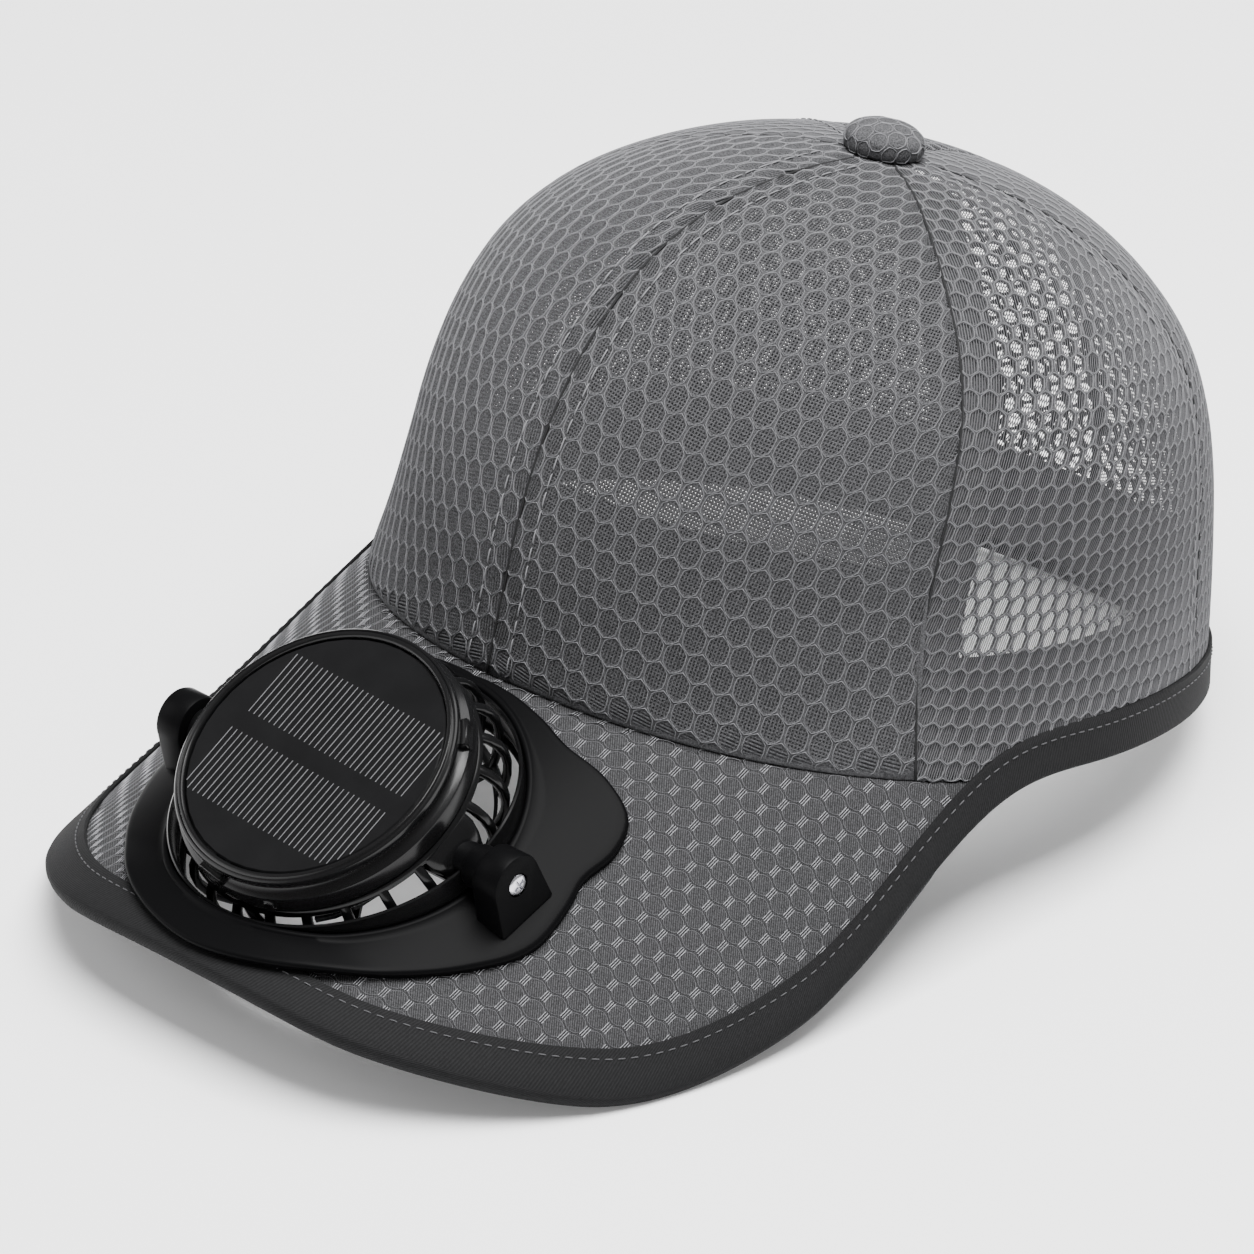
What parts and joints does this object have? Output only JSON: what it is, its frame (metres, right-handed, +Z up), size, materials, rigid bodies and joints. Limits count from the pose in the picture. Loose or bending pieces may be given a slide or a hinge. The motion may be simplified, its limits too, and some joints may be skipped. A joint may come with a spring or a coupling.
{
  "type": "solar cap",
  "caption": "Grey mesh baseball cap with a tilting solar-powered fan set into its peak.",
  "frame": {"origin": "middle of the cap's footprint, on the surface it rests on", "axes": "-Y points ahead along the peak, +X to the wearer's left, which is the right seen from the front, +Z up"},
  "size_m": [0.1808, 0.279, 0.1371],
  "materials": {
    "mesh_cloth": "matte",
    "side_mesh": "matte",
    "peak_cloth": "matte",
    "band_cloth": "matte",
    "binding_tape": "matte",
    "satin_plastic": "satin",
    "gloss_plastic": "gloss",
    "solar_cells": "gloss",
    "screw_steel": "satin",
    "motor_can": "satin"
  },
  "bodies": {
    "cap": {"panel_front_left": "mesh_cloth", "panel_front_right": "mesh_cloth", "panel_side_left": "side_mesh", "panel_side_right": "side_mesh", "panel_back_left": "side_mesh", "panel_back_right": "side_mesh", "sweatband": "band_cloth", "button": "mesh_cloth", "peak": "peak_cloth", "peak_binding": "binding_tape", "rim_binding": "binding_tape", "fan_plate": "satin_plastic", "pivot_bracket_left": "satin_plastic", "pivot_bracket_right": "satin_plastic", "pivot_screw_left": "screw_steel", "pivot_screw_right": "screw_steel"},
    "fan_head": {"fan_housing": "gloss_plastic", "solar_panel": "solar_cells", "fan_cage": "gloss_plastic", "fan_motor": "motor_can"},
    "rotor": {"fan_rotor": "gloss_plastic"}
  },
  "joints": [
    {"name": "fan_tilt", "type": "hinge", "parent": "cap", "child": "fan_head", "pos_m": [0, -0.09279, 0.03946], "axis": [1, 0, 0], "range_deg": [-42, 18]},
    {"name": "fan_spin", "type": "hinge", "parent": "fan_head", "child": "rotor", "pos_m": [0, -0.09279, 0.03946], "axis": [0, -0.5156, 0.8568], "continuous": true}
  ]
}
